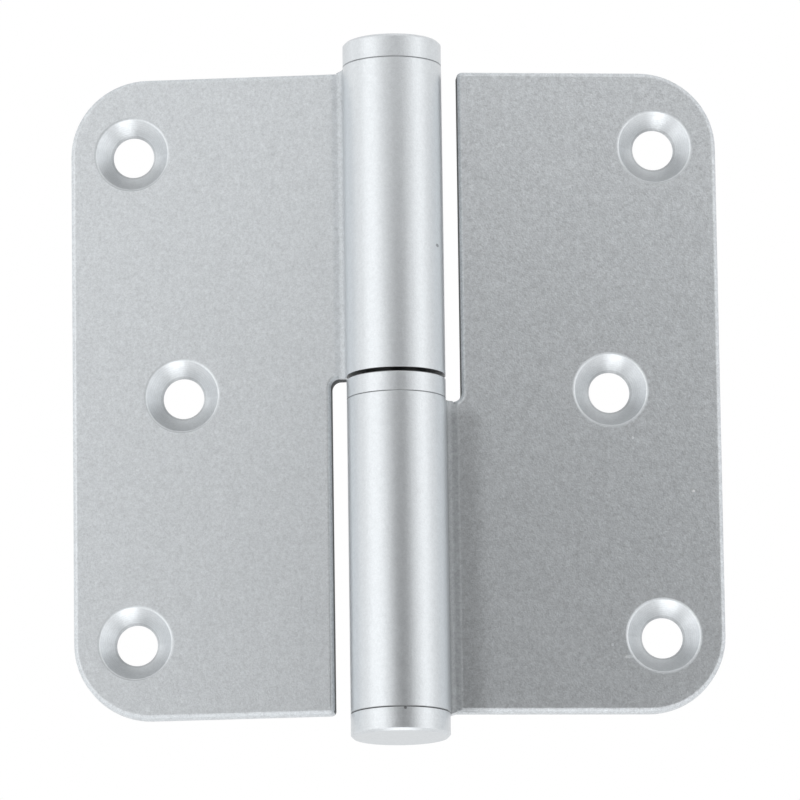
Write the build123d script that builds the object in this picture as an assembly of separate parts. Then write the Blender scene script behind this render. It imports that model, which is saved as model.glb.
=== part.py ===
# Lift-off paumelle hinge, laid open on its back. Millimetres and degrees.
# It is drawn about the pin's axis, with +Z up the pin and the countersunk faces towards -Y.
# It is written with its origin at the middle of the frame leaf's corner holes, on the leaf's back.
from build123d import *
import math
import os

# Pressed leaf, the same for the door and the frame
leaf_height = 89.0
leaf_reach = 44.5  # pin axis to free edge
sheet = 2.5
face_offset = 0.5  # pin axis to countersunk face, half the gap between closed leaves
corner_radius = 10.5
inner_corner_radius = 0.65
press_radius = 0.6  # rounded edge that the press leaves on the countersunk side

# Knuckle, which is the same sheet rolled round the pin
barrel_radius = 6.75
neck_radius = 1.0  # inside bend between countersunk face and knuckle
roll_seam = 0.1  # left between the roll's end and the neck
knuckle_overhang = 0.35  # how far the knuckle stands past the leaf's edge
knuckle_gap = 3.3  # between the two knuckles

# Slot beside the other leaf's knuckle
slot_clearance = 2.25
slot_corner_radius = 1.2

# Countersunk screw holes
screw_hole_radius = 2.8
countersink_radius = 5.05
countersink_angle = 90
countersink_chamfer = 0.15
corner_hole_reach = 36.05  # pin axis to corner holes
corner_hole_spacing = 68.1
middle_hole_reach = 29.4

# Pin, ball and spacer ring
pin_clearance = 0.05  # radial running clearance in the upper knuckle
pin_chamfer = 0.8
ball_radius = 2.5
ball_clearance = 0.02
ball_stand = 1.5  # how far the ball stands out of the pin
drill_point_angle = 118
ring_gap = 0.5  # between spacer ring and upper knuckle
ring_clearance = 0.05
ring_groove = 0.12  # narrow chamfer on both of its outer edges

# Caps
cap_height = 3.3
cap_chamfer = 0.35
cap_groove = 0.12  # narrow chamfer where a cap meets its knuckle
plug_length = 6.0
plug_chamfer = 0.6

# Places worked out from the sizes
half_height = leaf_height / 2
half_gap = knuckle_gap / 2
knuckle_end = half_height + knuckle_overhang
plug_end = knuckle_end - plug_length
bore_radius = barrel_radius - sheet
back_offset = face_offset + sheet
slot_edge = barrel_radius + slot_clearance
bend_x = math.sqrt((barrel_radius + neck_radius) ** 2 - (face_offset - neck_radius) ** 2)
bend_y = face_offset - neck_radius
bend_angle = math.degrees(math.atan2(bend_y, bend_x))
ring_top = half_gap - ring_gap
ball_top = plug_end - ball_clearance
pin_top = ball_top - ball_stand
# Laid open, the free edges and the knuckles rest on one plane.
lay_angle = math.degrees(
    math.asin(barrel_radius / math.hypot(leaf_reach, back_offset))
    - math.atan2(back_offset, leaf_reach)
)


def circles(piece, radius):
    """Round edges of one radius."""
    round_edges = piece.edges().filter_by(GeomType.CIRCLE)
    return round_edges.filter_by(lambda edge: abs(edge.radius - radius) < 0.001)


def roll_end_angle():
    """Angle in plan at which the rolled edge stops, just short of the neck."""
    neck_back = neck_radius + sheet + roll_seam
    to_bend = barrel_radius + neck_radius
    cosine = (barrel_radius**2 + to_bend**2 - neck_back**2) / (2 * barrel_radius * to_bend)
    return bend_angle + math.degrees(math.acos(cosine))


def knuckle_section():
    """Plan of the neck and the roll, from the flat leaf round to the rolled edge."""
    start = roll_end_angle()
    turn = 360 - start + bend_angle
    bend = (bend_x, bend_y)
    neck_turn = 90 + bend_angle
    with BuildSketch() as section:
        with BuildLine():
            outside = CenterArc((0, 0), barrel_radius, start, turn)
            inside = CenterArc((0, 0), bore_radius, start, turn)
            neck_front = CenterArc(bend, neck_radius, 90, neck_turn)
            neck_back = CenterArc(bend, neck_radius + sheet, 90, neck_turn)
            Line(outside @ 0, inside @ 0)
            Line(neck_front @ 0, neck_back @ 0)
        make_face()
    return section.sketch


def flat_outline():
    """Front view of the flat leaf, from its neck to its free edge."""
    with BuildSketch(Plane.XZ.offset(-back_offset)) as outline:
        with BuildLine():
            Polyline(
                (bend_x, -half_height),
                (leaf_reach, -half_height),
                (leaf_reach, half_height),
                (slot_edge, half_height),
                (slot_edge, -half_gap),
                (bend_x, -half_gap),
                close=True,
            )
        make_face()
        for place, radius in (
            ((leaf_reach, half_height), corner_radius),
            ((leaf_reach, -half_height), corner_radius),
            ((slot_edge, half_height), inner_corner_radius),
            ((slot_edge, -half_gap), slot_corner_radius),
        ):
            fillet(outline.vertices().sort_by_distance(place)[0], radius)
    return outline.sketch


def neck_ramp():
    """What is cut from the knuckle's end, where the leaf's edge rises to the knuckle."""
    with BuildSketch(Plane.XZ) as ramp:
        with BuildLine():
            Polyline(
                (barrel_radius, -knuckle_end),
                (bend_x, -half_height),
                (bend_x, -knuckle_end),
                close=True,
            )
        make_face()
    return extrude(ramp.sketch, amount=barrel_radius, both=True)


def screw_holes():
    """Three countersunk holes, two near the corners and one nearer the knuckle."""
    face = Plane(origin=(0, face_offset, 0), x_dir=(1, 0, 0), z_dir=(0, -1, 0))
    half_spacing = corner_hole_spacing / 2
    places = Locations(
        (corner_hole_reach, half_spacing),
        (corner_hole_reach, -half_spacing),
        (middle_hole_reach, 0),
    )
    tool = CounterSinkHole(
        screw_hole_radius, countersink_radius, depth=sheet, counter_sink_angle=countersink_angle
    )
    return face * places * tool


def leaf():
    """One pressing: the leaf towards +X, its knuckle on the lower half."""
    flat = extrude(flat_outline(), amount=sheet)
    front = flat.faces().sort_by(Axis.Y)[0]
    flat = fillet(front.outer_wire().edges().sort_by(Axis.X)[1:], press_radius)
    knuckle = Pos(Z=-knuckle_end) * extrude(knuckle_section(), amount=knuckle_end - half_gap)
    pressing = flat + (knuckle - neck_ramp()) - screw_holes()
    return chamfer(circles(pressing, countersink_radius), countersink_chamfer)


def pin():
    """Stepped pin: a shank tight in the lower knuckle, a journal running in the upper one."""
    journal_radius = bore_radius - pin_clearance
    pocket_radius = ball_radius + ball_clearance
    half_point = math.radians(drill_point_angle / 2)
    # The ball rests just clear of the drill point's cone.
    ball_centre = ball_top - ball_radius
    point_tip = ball_centre - pocket_radius / math.sin(half_point)
    point_rim = point_tip + pocket_radius / math.tan(half_point)
    with BuildSketch(Plane.XZ) as profile:
        with BuildLine():
            Polyline(
                (0, -plug_end),
                (bore_radius - pin_chamfer, -plug_end),
                (bore_radius, pin_chamfer - plug_end),
                (bore_radius, ring_top),
                (journal_radius, ring_top),
                (journal_radius, pin_top - pin_chamfer),
                (journal_radius - pin_chamfer, pin_top),
                (pocket_radius, pin_top),
                (pocket_radius, point_rim),
                (0, point_tip),
                close=True,
            )
        make_face()
    return revolve(profile.sketch, Axis.Z)


def thrust_ball():
    """Ball that stands out of the pin's top and carries the upper cap's plug."""
    return Pos(Z=ball_top - ball_radius) * Sphere(ball_radius)


def spacer_ring():
    """Ring round the pin's shank, resting on the lower knuckle."""
    height = ring_top + half_gap
    ring = Pos(Z=-half_gap) * extrude(
        Circle(barrel_radius) - Circle(bore_radius + ring_clearance), amount=height
    )
    return chamfer(circles(ring, barrel_radius), ring_groove)


def cap():
    """Cap for the top of a knuckle: a round head and the plug pressed into the bore."""
    end = knuckle_end + cap_height
    with BuildSketch(Plane.XZ) as profile:
        with BuildLine():
            Polyline(
                (0, plug_end),
                (bore_radius - plug_chamfer, plug_end),
                (bore_radius, plug_end + plug_chamfer),
                (bore_radius, knuckle_end),
                (barrel_radius - cap_groove, knuckle_end),
                (barrel_radius, knuckle_end + cap_groove),
                (barrel_radius, end - cap_chamfer),
                (barrel_radius - cap_chamfer, end),
                (0, end),
                close=True,
            )
        make_face()
    return revolve(profile.sketch, Axis.Z)


def to_frame(piece):
    """From the pin's axis to the origin, at the frame leaf's corner holes on its back."""
    return Pos(-corner_hole_reach, -back_offset, 0) * piece


# The door side is the frame side turned end for end, then swung past flat.
turned = Rot(Y=180)
swung_back = Rot(Z=-2 * lay_angle)
parts = {
    "frame_leaf": leaf(),
    "door_leaf": swung_back * turned * leaf(),
    "hinge_pin": pin(),
    "thrust_ball": thrust_ball(),
    "spacer_ring": spacer_ring(),
    "top_cap": swung_back * cap(),
    "bottom_cap": turned * cap(),
}

os.makedirs("parts", exist_ok=True)
for node, piece in parts.items():
    export_step(to_frame(piece), f"parts/{node}.step")
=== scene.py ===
# Looks of the lift-off paumelle hinge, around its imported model. Metres, +Z up along the pin.
# The countersunk faces look towards -Y, and the frame leaf lies towards +X of the pin.
import bpy
import math
from mathutils import Matrix, Vector

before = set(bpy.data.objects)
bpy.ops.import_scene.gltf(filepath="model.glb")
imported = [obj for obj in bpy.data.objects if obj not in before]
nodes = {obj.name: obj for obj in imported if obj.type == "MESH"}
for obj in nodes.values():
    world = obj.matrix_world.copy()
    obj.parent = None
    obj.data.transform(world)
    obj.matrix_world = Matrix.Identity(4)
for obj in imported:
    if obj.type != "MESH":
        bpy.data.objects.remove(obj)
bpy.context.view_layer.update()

mm = 0.001
pin_point = Vector((-36.05, -3.0, 0.0)) * mm  # middle of the pin's axis
door_turn = math.radians(-9.696)  # the door leaf, swung back past the frame leaf's line

# A leaf's own places: reach from the pin's axis, depth behind it, height
barrel_radius = 6.75 * mm
bore_radius = 4.25 * mm
front_depth = 0.5 * mm
back_depth = 3.0 * mm
slot_reach = 9.0 * mm
slot_height = -1.65 * mm
bend_reach = 7.734 * mm  # middle of the neck's inside bend
bend_depth = -0.5 * mm
bend_radius = 1.0 * mm
corner_hole = Vector((36.05, 0, 34.05)) * mm
middle_hole = Vector((29.4, 0, 0)) * mm
countersink_radius = 5.2 * mm  # over its chamfered lip
throat_radius = 2.95 * mm  # just outside the screw hole
press_radius = 0.6 * mm
knuckle_end = 44.85 * mm

# Camera, below the hinge and looking up at it
camera_azimuth = -4.582
camera_elevation = -11.464
camera_roll = -0.793
camera_distance = 1109.25 * mm
camera_lens = 366.7
aim_right = 0.519 * mm  # from the pin's point to the picture's middle
aim_up = -1.598 * mm

# Coating of leaves, ring and caps
coat_colour = (0.666, 0.693, 0.714)
coat_metal = 0.86
coat_roughness = 0.37
coat_sparkle = 0.36  # on knuckles, caps and ring; stronger on the pressed faces
coat_flakes = 0.018  # height of its flakes, in millimetres
wave_height = 0.003  # height of its soft waves, in millimetres
uneven_roughness = 0.02

# Noise in the coating: size, detail, change of gain
grain_layers = (
    (0.20 * mm, 1.0, 0.11),
    (0.45 * mm, 1.0, 0.09),
    (1.1 * mm, 2.0, 0.045),
)
cloud_size, cloud_detail, cloud_gain = 9 * mm, 3.0, 0.008

# Rounding that shows on crisp edges, and how much lighter they are
leaf_edge = 0.16 * mm
leaf_edge_gain = 0.04
turned_edge = 0.12 * mm
turned_edge_gain = 0.05

# Streaks on the sheared walls. Heights are in millimetres.
streak_width = 0.22 * mm
streak_gain = 0.10
streak_height = 0.006
wall_roughness = 0.12

# Rings that the countersinking tool leaves
ring_spacing = 0.24 * mm
ring_gain = 0.025
ring_height = 0.0008

# In a gap and on the ring's top the dark is painted shade; in a groove it is a dark joint.
groove_and_shade_gain = 0.3  # where a turned piece is dark, in a groove or gap

# Where a leaf differs from its plain face: gain, added roughness
leaf_touches = {
    "rim": (1.05, 0.3),
    "countersink": (1.12, -0.05),
    # Painted shade round each screw hole's edge.
    "throat": (0.85, 0.0),
    # Painted shade on the countersinks' sides that look up.
    "up_facing_shade": (0.74, 0.0),
    "lip": (0.84, 0.25),
    # Painted shade in the gap, on the knuckle's end face.
    "knuckle_mouth": (0.3, 0.0),
    "bore": (0.62, -0.06),
}
frame_leaf_touches = {
    # Painted shade in the frame leaf's inside bend.
    "neck": (0.75, 0.3),
    # Painted shadow of the knuckle on the frame leaf's face beside it.
    "knuckle_shadow": (0.76, 0.0),
    # Painted shade on the frame leaf's slot walls.
    "slot_wall": (0.15, 0.4),
    "end_line": (0.55, 0.0),
}
door_leaf_touches = {
    # Painted shade in the door leaf's inside bend.
    "neck": (0.95, 0.3),
    # Painted shade on the door leaf's slot walls.
    "slot_wall": (0.2, 0.4),
    "end_line": (0.8, 0.0),
}


def from_pin(azimuth, elevation):
    """Unit vector from the pin: azimuth 0 is towards -Y, and 90 towards +X."""
    a, e = math.radians(azimuth), math.radians(elevation)
    return Vector((math.sin(a) * math.cos(e), -math.cos(a) * math.cos(e), math.sin(e)))


class Shades:
    """The node graph of one material."""

    def __init__(self, name):
        self.material = bpy.data.materials.new(name)
        self.material.use_nodes = True
        self.tree = self.material.node_tree
        self.shader = self.tree.nodes["Principled BSDF"]
        spot = self.add("TexCoord").outputs
        self.place, self.normal = spot["Object"], spot["Normal"]
        self.facing = self.add("NewGeometry").outputs["Normal"]

    def add(self, kind, values=None, **settings):
        """New node. Its values are numbers, colours or other nodes' outputs."""
        node = self.tree.nodes.new("ShaderNode" + kind)
        for key, value in settings.items():
            setattr(node, key, value)
        for key, value in (values or {}).items():
            self.put(node.inputs[key], value)
        return node

    def put(self, socket, value):
        """Links another node's output to a socket, or sets its value."""
        if isinstance(value, bpy.types.NodeSocket):
            self.tree.links.new(value, socket)
        else:
            socket.default_value = value

    def math(self, operation, *values):
        return self.add("Math", dict(enumerate(values)), operation=operation).outputs[0]

    def chain(self, operation, *values):
        """The same sum or product over any number of values."""
        total = values[0]
        for value in values[1:]:
            total = self.math(operation, total, value)
        return total

    def one_plus(self, value, amount):
        """1 plus an amount of a value, for a gain to be multiplied by."""
        return self.math("ADD", 1.0, self.math("MULTIPLY", value, amount))

    def vector(self, operation, a, b=(0, 0, 0)):
        return self.add("VectorMath", {0: a, 1: b}, operation=operation)

    def join(self, **axes):
        """Vector of the numbers given for X, Y and Z."""
        return self.add("CombineXYZ", axes).outputs[0]

    def split(self, vector):
        return self.add("SeparateXYZ", {0: vector}).outputs

    def noise(self, size, detail, vector=None):
        """Noise whose blots are about size across, in metres."""
        values = {"Vector": vector or self.place, "Scale": 1 / size, "Detail": detail}
        return self.add("TexNoise", values).outputs["Fac"]

    def sway(self, noise, amount):
        """Noise as a number round 0, mostly within the amount."""
        return self.math("MULTIPLY", self.math("SUBTRACT", noise, 0.5), 4 * amount)

    def band(self, value, low, high, to_low=0.0, to_high=1.0):
        """Value from low to high, taken smoothly to another range."""
        ends = {"From Min": low, "From Max": high, "To Min": to_low, "To Max": to_high}
        node = self.add("MapRange", ends, interpolation_type="SMOOTHSTEP")
        self.put(node.inputs["Value"], value)
        return node.outputs["Result"]

    def above(self, value, limit, fade):
        """0 up to the limit and 1 past the fade beyond it."""
        return self.band(value, limit, limit + fade)

    def below(self, value, limit, fade):
        """1 up to the limit and 0 past the fade beyond it."""
        return self.band(value, limit, limit + fade, 1.0, 0.0)

    def gain_on(self, mask, gain):
        """The gain where the mask is 1, and 1 where it is 0."""
        return self.band(mask, 0.0, 1.0, 1.0, gain)

    def around(self, point, radius, stretch):
        """1 inside a small ball round a point, 0 outside."""
        away = self.vector("MULTIPLY", self.vector("SUBTRACT", self.place, point).outputs[0], stretch)
        far = self.vector("LENGTH", away.outputs[0]).outputs["Value"]
        return self.below(far, radius * 0.6, fade=radius * 0.8)

    def edge(self, radius):
        """(normal with the crisp edges rounded, how near such an edge is)"""
        rounded = self.add("Bevel", {"Radius": radius}, samples=6).outputs["Normal"]
        same = self.vector("DOT_PRODUCT", rounded, self.facing).outputs["Value"]
        return rounded, self.band(same, 0.86, 0.995, 1.0, 0.0)

    def paint(self, colour, gain, roughness, metal, height, normal):
        """Sends a colour times a gain, a height in millimetres and the rest to the shader."""
        gains = self.join(X=gain, Y=gain, Z=gain)
        bump = self.add("Bump", {"Height": height, "Distance": mm, "Normal": normal})
        self.put(self.shader.inputs["Base Color"], self.vector("MULTIPLY", colour, gains).outputs[0])
        self.put(self.shader.inputs["Roughness"], roughness)
        self.put(self.shader.inputs["Normal"], bump.outputs[0])
        self.put(self.shader.inputs["Metallic"], metal)
        return self.material


def seam(s, height, level):
    """1 on the fine groove at a level, seen as a thin dark line."""
    off = s.math("ABSOLUTE", s.math("SUBTRACT", height, level))
    return s.below(off, 0.05 * mm, fade=0.08 * mm)


class LeafPlaces:
    """Masks of one pressed leaf's features, each 1 on its feature and 0 away from it."""

    def __init__(self, s, turn, side):
        """The side is 1 for the frame leaf and -1 for the door leaf, turned end for end."""
        self.s = s
        spun = s.add("VectorRotate", {"Vector": s.place, "Center": pin_point, "Angle": -turn},
                     rotation_type="Z_AXIS")
        away = s.vector("SUBTRACT", spun.outputs[0], pin_point).outputs[0]
        self.own = s.vector("MULTIPLY", away, (side, 1, side)).outputs[0]
        self.reach, self.depth, self.height = s.split(self.own)
        self.plan = s.join(X=self.reach, Y=self.depth)
        self.from_axis = s.vector("LENGTH", self.plan).outputs["Value"]
        self.from_hole = self.hole_distance()
        # Flatness is 1 on the leaf's faces and 0 on what stands square to them.
        faced = s.add("VectorRotate", {"Vector": s.normal, "Angle": -turn}, rotation_type="Z_AXIS")
        self.flatness = s.math("ABSOLUTE", s.split(faced.outputs[0])[1])

    def hole_distance(self):
        """Distance to the axis of the nearest screw hole."""
        s = self.s
        folded = s.join(X=self.reach, Z=s.math("ABSOLUTE", self.height))
        corner = s.vector("DISTANCE", folded, corner_hole).outputs["Value"]
        middle = s.vector("DISTANCE", s.join(X=self.reach, Z=self.height), middle_hole)
        return s.math("MINIMUM", corner, middle.outputs["Value"])

    def inside_radius(self, radius):
        """Nearer to the pin's axis than the radius."""
        return self.s.below(self.from_axis, radius + 0.02 * mm, fade=0.08 * mm)

    def wall(self):
        """Sheared walls, which stand square to the leaf."""
        s = self.s
        square_on = s.below(self.flatness, 0.2, fade=0.3)
        behind = s.above(self.depth, front_depth + 0.3 * mm, fade=0.2 * mm)
        return s.math("MULTIPLY", square_on, behind)

    def slot_wall(self):
        """Walls of the slot beside the other leaf's knuckle, where shade is painted."""
        s = self.s
        inside = s.below(self.reach, slot_reach + 0.05 * mm, fade=0.15 * mm)
        outside = s.above(self.reach, barrel_radius, fade=0.3 * mm)
        above = s.above(self.height, slot_height - 0.15 * mm, fade=0.13 * mm)
        return s.chain("MULTIPLY", inside, outside, above, self.wall())

    def rim(self):
        """Rounded edge that the press leaves on the countersunk side."""
        s = self.s
        tilted = s.below(self.flatness, 0.93, fade=0.065)
        before = s.band(self.depth, front_depth + press_radius, back_depth, 1.0, 0.0)
        beyond = s.above(self.reach, bend_reach, fade=0.3 * mm)
        return s.chain("MULTIPLY", tilted, before, beyond)

    def knuckle_mouth(self):
        """The knuckle's end face, which looks at the spacer ring, where the gap's shade is painted."""
        s = self.s
        top = s.above(self.height, slot_height - 0.08 * mm, fade=0.05 * mm)
        return s.math("MULTIPLY", self.inside_radius(barrel_radius - 0.1 * mm), top)

    def neck(self):
        """Inside bend between the countersunk face and the knuckle, where shade is painted."""
        s = self.s
        bend = (bend_reach, bend_depth, 0)
        far = s.vector("DISTANCE", self.plan, bend).outputs["Value"]
        return s.below(far, bend_radius + 0.05 * mm, fade=0.35 * mm)

    def knuckle_shadow(self):
        """Countersunk face close to the knuckle, below the slot, where the knuckle's shadow is painted.
        """
        s = self.s
        beside = s.below(self.reach, bend_reach + 1.2 * mm, fade=4.8 * mm)
        beyond = s.above(self.reach, barrel_radius, fade=0.1 * mm)
        before = s.below(self.depth, front_depth + 0.3 * mm, fade=0.6 * mm)
        below = s.below(self.height, slot_height - 3 * mm, fade=3 * mm)
        return s.chain("MULTIPLY", beside, beyond, before, below)

    def masks(self):
        """Every place that the touches name, and the sheared walls."""
        s = self.s
        before_back = s.below(self.depth, back_depth - 0.15 * mm, fade=0.1 * mm)
        countersink = s.math("MULTIPLY", before_back,
                             s.below(self.from_hole, countersink_radius, fade=0.1 * mm))
        off_countersink = s.math("SUBTRACT", 1.0, countersink)
        off_lip = s.math("ABSOLUTE", s.math("SUBTRACT", self.from_hole, countersink_radius - 0.08 * mm))
        # Painted shade on the sides of the countersinks that look up.
        looks_up = s.above(s.split(s.normal)[2], -0.1, fade=0.8)
        return {
            "rim": s.math("MULTIPLY", self.rim(), off_countersink),
            "countersink": countersink,
            # Painted shade at the screw hole's edge.
            "throat": s.below(self.from_hole, throat_radius, fade=0.25 * mm),
            "up_facing_shade": s.math("MULTIPLY", countersink, looks_up),
            "lip": s.math("MULTIPLY", before_back, s.below(off_lip, 0.08 * mm, fade=0.06 * mm)),
            "knuckle_mouth": self.knuckle_mouth(),
            "bore": self.inside_radius(bore_radius),
            "neck": self.neck(),
            "knuckle_shadow": self.knuckle_shadow(),
            "slot_wall": self.slot_wall(),
            "end_line": seam(s, s.math("ABSOLUTE", self.height), knuckle_end),
            "wall": s.math("MULTIPLY", self.wall(), off_countersink),
        }


def grain(s, strength, flakes):
    """Fine sparkle of the coating: its gain, and its height, given the flakes', in millimetres."""
    layers = [(s.noise(size, detail), change) for size, detail, change in grain_layers]
    sparkle = s.chain("ADD", *(s.sway(noise, change) for noise, change in layers))
    cloud = s.sway(s.noise(cloud_size, cloud_detail), cloud_gain)
    gain = s.math("ADD", s.one_plus(sparkle, strength), cloud)
    finest = layers[0][0]
    height = s.math("ADD", s.math("MULTIPLY", finest, flakes),
                    s.math("MULTIPLY", s.noise(1.3 * mm, 2.0), wave_height))
    return gain, height


def marked(s, gain, marks):
    """Gain with small marks: where, how large, how much lighter or darker, how stretched."""
    for point, radius, change, stretch in marks:
        gain = s.math("MULTIPLY", gain, s.gain_on(s.around(point, radius, stretch), change))
    return gain


def leaf_finish(name, turn, side, sparkle, own_touches, marks):
    """Satin coating over the pressed sheet, with its sheared walls, bore and countersinks."""
    s = Shades(name)
    at = LeafPlaces(s, turn, side)
    masks = at.masks()
    # The rolled knuckle and the cut countersinks are smoother than the pressed face.
    smooth = s.math("MAXIMUM", masks["countersink"], at.inside_radius(barrel_radius + 0.1 * mm))
    gain, height = grain(s, s.band(smooth, 0.0, 1.0, sparkle, coat_sparkle), coat_flakes)
    rounded, worn = s.edge(leaf_edge)
    # Shearing drags streaks through the sheet's thickness.
    streaked = s.vector("MULTIPLY", at.own, (1, 0.12, 1)).outputs[0]
    streaks = s.noise(streak_width, 2.0, streaked)
    rings = s.math("SINE", s.math("MULTIPLY", at.from_hole, 2 * math.pi / ring_spacing))
    rings = s.math("MULTIPLY", rings, masks["countersink"])

    gain = s.chain("MULTIPLY", gain,
                   s.one_plus(s.sway(streaks, streak_gain), masks["wall"]),
                   s.one_plus(rings, ring_gain),
                   s.one_plus(worn, leaf_edge_gain))
    rough = s.chain("ADD", coat_roughness,
                    s.math("MULTIPLY", masks["wall"], wall_roughness),
                    s.sway(s.noise(0.5 * mm, 1.0), uneven_roughness))
    for place, (gain_there, added_roughness) in {**leaf_touches, **own_touches}.items():
        gain = s.math("MULTIPLY", gain, s.gain_on(masks[place], gain_there))
        rough = s.math("ADD", rough, s.math("MULTIPLY", masks[place], added_roughness))
    gain = marked(s, gain, marks)
    height = s.chain("ADD", height,
                     s.chain("MULTIPLY", streaks, masks["wall"], streak_height),
                     s.math("MULTIPLY", rings, ring_height))
    # Seen along its surface metal looks white whatever its colour, so the slot walls, with their
    # painted shade, have none.
    metal = s.band(masks["slot_wall"], 0.0, 1.0, coat_metal, 0.0)
    return s.paint(coat_colour, gain, rough, metal, height, rounded)


def turned_finish(name, colour, metal, roughness, sparkle, flakes, ring_width, ring_change,
                  dark=None, marks=()):
    """Turned round piece: its grain, and faint rings round the pin's axis.

    The dark function gives the share of a groove, or of painted shade in a gap, from the node graph and
    the height.
    """
    s = Shades(name)
    gain, height = grain(s, sparkle, flakes)
    rounded, worn = s.edge(turned_edge)
    away = s.vector("SUBTRACT", s.place, pin_point).outputs[0]
    level = s.vector("MULTIPLY", away, (1, 1, 0)).outputs[0]
    radius = s.vector("LENGTH", level).outputs["Value"]
    up = s.split(away)[2]
    # Rings show on the ends by their radius and on the round side by their height.
    rings = s.noise(ring_width, 2.0, s.join(X=radius, Z=up))
    gain = s.chain("MULTIPLY", gain,
                   s.math("ADD", 1.0, s.sway(rings, ring_change)),
                   s.one_plus(worn, turned_edge_gain))
    if dark:
        gain = s.math("MULTIPLY", gain, s.gain_on(dark(s, up), groove_and_shade_gain))
    gain = marked(s, gain, marks)
    height = s.math("ADD", height, s.math("MULTIPLY", rings, 0.05 * ring_change))
    rough = s.math("ADD", roughness, s.sway(s.noise(2.2 * mm, 3.0), uneven_roughness))
    return s.paint(colour, gain, rough, metal, height, rounded)


def top_groove(s, height):
    """The fine groove where the top cap meets the upper knuckle."""
    return s.math("MULTIPLY", seam(s, height, knuckle_end + 0.05 * mm), 0.55)


def bottom_groove(s, height):
    """The fine groove where the bottom cap meets the lower knuckle."""
    return seam(s, height, -knuckle_end - 0.05 * mm)


def ring_dark(s, height):
    """Painted shade on the ring's top, under the upper knuckle, and the fine groove on the lower one.
    """
    top = s.math("MULTIPLY", s.above(s.split(s.normal)[2], 0.5, fade=0.3), 0.7)
    groove = s.math("MULTIPLY", seam(s, height, slot_height + 0.05 * mm), 0.6)
    return s.math("MAXIMUM", top, groove)


def pin_dark(s, height):
    """Oil and painted shade where the pin shows between the ring and the upper knuckle."""
    return s.below(s.math("ABSOLUTE", height), 1.9 * mm, fade=0.7 * mm)


def add_camera():
    """Camera at the photograph's viewing angle."""
    back = from_pin(camera_azimuth, camera_elevation)
    right = (-back).cross(Vector((0, 0, 1))).normalized()
    up = right.cross(-back)
    turn = Matrix.Rotation(math.radians(camera_roll), 3, back)
    right, up = turn @ right, turn @ up
    data = bpy.data.cameras.new("camera")
    data.lens = camera_lens
    data.clip_start, data.clip_end = 0.01, 50
    camera = bpy.data.objects.new("camera", data)
    place = pin_point + back * camera_distance + right * aim_right + up * aim_up
    camera.matrix_world = Matrix.Translation(place) @ Matrix((right, up, back)).transposed().to_4x4()
    bpy.context.scene.collection.objects.link(camera)
    bpy.context.scene.camera = camera


def add_lamp(name, azimuth, elevation, distance, width, height, radiance):
    """Soft rectangular lamp that faces the hinge. Its radiance is 1 where it looks white."""
    data = bpy.data.lights.new(name, "AREA")
    data.shape = "RECTANGLE"
    data.size, data.size_y = width, height
    data.energy = radiance * math.pi * width * height
    lamp = bpy.data.objects.new(name, data)
    away = from_pin(azimuth, elevation)
    lamp.location = pin_point + away * distance
    lamp.rotation_mode = "QUATERNION"
    lamp.rotation_quaternion = (-away).to_track_quat("-Z", "Y")
    lamp.visible_camera = False
    bpy.context.scene.collection.objects.link(lamp)


def square(name, width, height):
    """Flat stage piece round its own origin, facing +Z."""
    mesh = bpy.data.meshes.new(name)
    w, h = width / 2, height / 2
    mesh.from_pydata([(-w, -h, 0), (w, -h, 0), (w, h, 0), (-w, h, 0)], [], [(0, 1, 2, 3)])
    piece = bpy.data.objects.new(name, mesh)
    bpy.context.scene.collection.objects.link(piece)
    return piece


def bare_tree(owner):
    """Empty node tree of a material or world."""
    owner.use_nodes = True
    owner.node_tree.nodes.clear()
    return owner.node_tree


def add_card(name, aside, up, distance, width, height, grey, roll):
    """Grey card before the hinge, square to the camera's level line. Only reflections see it."""
    card = square(name, width, height)
    azimuth = math.degrees(math.atan2(aside, distance)) + camera_azimuth
    away = from_pin(azimuth, math.degrees(math.atan2(up, distance)))
    card.location = pin_point + away * distance
    card.rotation_mode = "QUATERNION"
    spin = Matrix.Rotation(math.radians(roll), 3, "Z").to_quaternion()
    card.rotation_quaternion = away.to_track_quat("-Z", "Y") @ spin
    card.visible_camera = card.visible_diffuse = card.visible_shadow = False
    card.visible_transmission = False
    material = bpy.data.materials.new(name)
    tree = bare_tree(material)
    glow = tree.nodes.new("ShaderNodeEmission")
    glow.inputs["Color"].default_value = (grey, grey, grey, 1)
    output = tree.nodes.new("ShaderNodeOutputMaterial")
    tree.links.new(glow.outputs[0], output.inputs["Surface"])
    card.data.materials.append(material)


def seen_directly(tree, camera_share):
    """Share of white: for camera rays as given, for glossy and transmission rays all of it."""
    rays = tree.nodes.new("ShaderNodeLightPath").outputs

    def step(operation, a, b):
        node = tree.nodes.new("ShaderNodeMath")
        node.operation = operation
        tree.links.new(a, node.inputs[0])
        if isinstance(b, float):
            node.inputs[1].default_value = b
        else:
            tree.links.new(b, node.inputs[1])
        return node.outputs[0]

    camera = step("MULTIPLY", rays["Is Camera Ray"], camera_share)
    other = step("MAXIMUM", rays["Is Glossy Ray"], rays["Is Transmission Ray"])
    return step("MAXIMUM", camera, other)


def add_world(ambient):
    """White to the camera and in reflections, plain grey light on everything."""
    world = bpy.data.worlds.new("studio")
    tree = bare_tree(world)
    strength = tree.nodes.new("ShaderNodeMapRange")
    strength.inputs["To Min"].default_value = ambient
    tree.links.new(seen_directly(tree, 1.0), strength.inputs["Value"])
    back = tree.nodes.new("ShaderNodeBackground")
    back.inputs["Color"].default_value = (1, 1, 1, 1)
    tree.links.new(strength.outputs[0], back.inputs["Strength"])
    output = tree.nodes.new("ShaderNodeOutputWorld")
    tree.links.new(back.outputs[0], output.inputs["Surface"])
    bpy.context.scene.world = world


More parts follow.
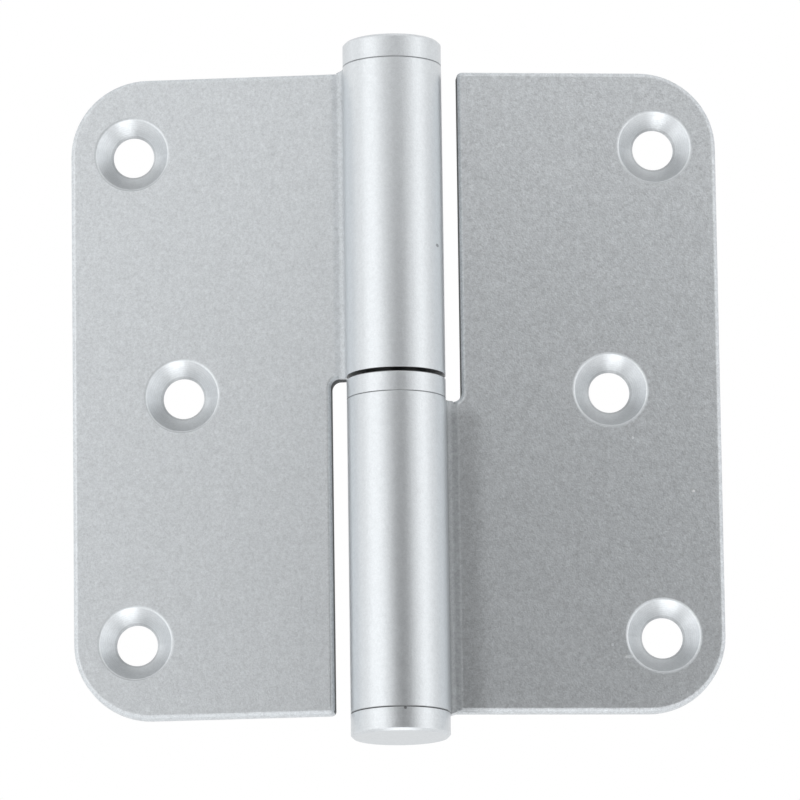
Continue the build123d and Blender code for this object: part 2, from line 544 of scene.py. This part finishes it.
def add_floor(level, size, white_share):
    """Pale floor that keeps the hinge's shadow, clear when seen from below."""
    floor = square("floor", size, size)
    floor.location = (0, 0, level)
    material = bpy.data.materials.new("floor")
    tree = bare_tree(material)
    matte = tree.nodes.new("ShaderNodeBsdfDiffuse")
    matte.inputs["Color"].default_value = (0.85, 0.85, 0.85, 1)
    white = tree.nodes.new("ShaderNodeEmission")
    clear = tree.nodes.new("ShaderNodeBsdfTransparent")
    top = tree.nodes.new("ShaderNodeMixShader")
    whole = tree.nodes.new("ShaderNodeMixShader")
    geometry = tree.nodes.new("ShaderNodeNewGeometry")
    output = tree.nodes.new("ShaderNodeOutputMaterial")
    tree.links.new(seen_directly(tree, white_share), top.inputs[0])
    tree.links.new(matte.outputs[0], top.inputs[1])
    tree.links.new(white.outputs[0], top.inputs[2])
    tree.links.new(geometry.outputs["Backfacing"], whole.inputs[0])
    tree.links.new(top.outputs[0], whole.inputs[1])
    tree.links.new(clear.outputs[0], whole.inputs[2])
    tree.links.new(whole.outputs[0], output.inputs["Surface"])
    floor.data.materials.append(material)


def frame_spot(reach, height):
    """Point on the frame leaf's countersunk face, given in millimetres."""
    return pin_point + Vector((reach * mm, front_depth, height * mm))


def knuckle_spot(azimuth, height):
    """Point on the round of a knuckle or cap, given in degrees and millimetres."""
    return pin_point + from_pin(azimuth, 0) * barrel_radius + Vector((0, 0, height)) * mm


add_camera()
add_world(ambient=0.7)
add_lamp("left_lamp", azimuth=-58, elevation=-18, distance=0.9, width=0.77, height=2.00, radiance=0.58)
add_lamp("right_lamp", azimuth=58, elevation=0, distance=0.9, width=0.46, height=0.95, radiance=0.57)
add_lamp("low_lamp", azimuth=0, elevation=-76, distance=0.35, width=0.22, height=0.22, radiance=0.9)
add_lamp("side_lamp", azimuth=-110, elevation=0, distance=0.9, width=0.5, height=1.2, radiance=0.22)
add_card("camera_card", aside=0.049, up=-0.010, distance=0.354, width=0.27, height=0.22,
         grey=0.055, roll=-15)
add_floor(level=-0.6, size=24.0, white_share=0.7)

# Small marks on the coating: where, how large, how much lighter or darker, how stretched
round_spot = (1, 1, 1)
frame_marks = (
    (frame_spot(32.3, -6.7), 0.18 * mm, 1.45, round_spot),
    (frame_spot(40.5, -14.1), 0.18 * mm, 1.45, round_spot),
    (frame_spot(29.0, -35.3), 0.20 * mm, 1.35, round_spot),
    (frame_spot(31.2, -37.0), 0.20 * mm, 1.30, (0.35, 1, 1)),
)
door_marks = ((knuckle_spot(56, 19.1), 0.22 * mm, 0.5, (0.8, 0.45, 1)),)
bottom_marks = ((knuckle_spot(1, -45.1), 0.20 * mm, 0.4, round_spot),)

coated = {
    "colour": coat_colour,
    "metal": coat_metal,
    "roughness": coat_roughness,
    "sparkle": coat_sparkle,
    "flakes": coat_flakes,
    "ring_width": 0.20 * mm,
    "ring_change": 0.02,
}
finishes = {
    "frame_leaf": leaf_finish("coated_frame_leaf", turn=0.0, side=1, sparkle=1.0,
                              own_touches=frame_leaf_touches, marks=frame_marks),
    "door_leaf": leaf_finish("coated_door_leaf", turn=door_turn, side=-1, sparkle=0.78,
                             own_touches=door_leaf_touches, marks=door_marks),
    "hinge_pin": turned_finish("ground_pin", colour=(0.56, 0.555, 0.54), metal=1.0, roughness=0.24,
                               sparkle=0.15, flakes=0.0002, ring_width=0.10 * mm, ring_change=0.07,
                               dark=pin_dark),
    "thrust_ball": turned_finish("polished_ball", colour=(0.62, 0.62, 0.61), metal=1.0, roughness=0.08,
                                 sparkle=0.05, flakes=0.0001, ring_width=0.30 * mm, ring_change=0.01),
    "spacer_ring": turned_finish("coated_ring", dark=ring_dark, **coated),
    "top_cap": turned_finish("coated_top_cap", dark=top_groove, **coated),
    "bottom_cap": turned_finish("coated_bottom_cap", dark=bottom_groove, marks=bottom_marks, **coated),
}
for name, finish in finishes.items():
    nodes[name].data.materials.clear()
    nodes[name].data.materials.append(finish)

bpy.context.scene.view_settings.view_transform = "Standard"
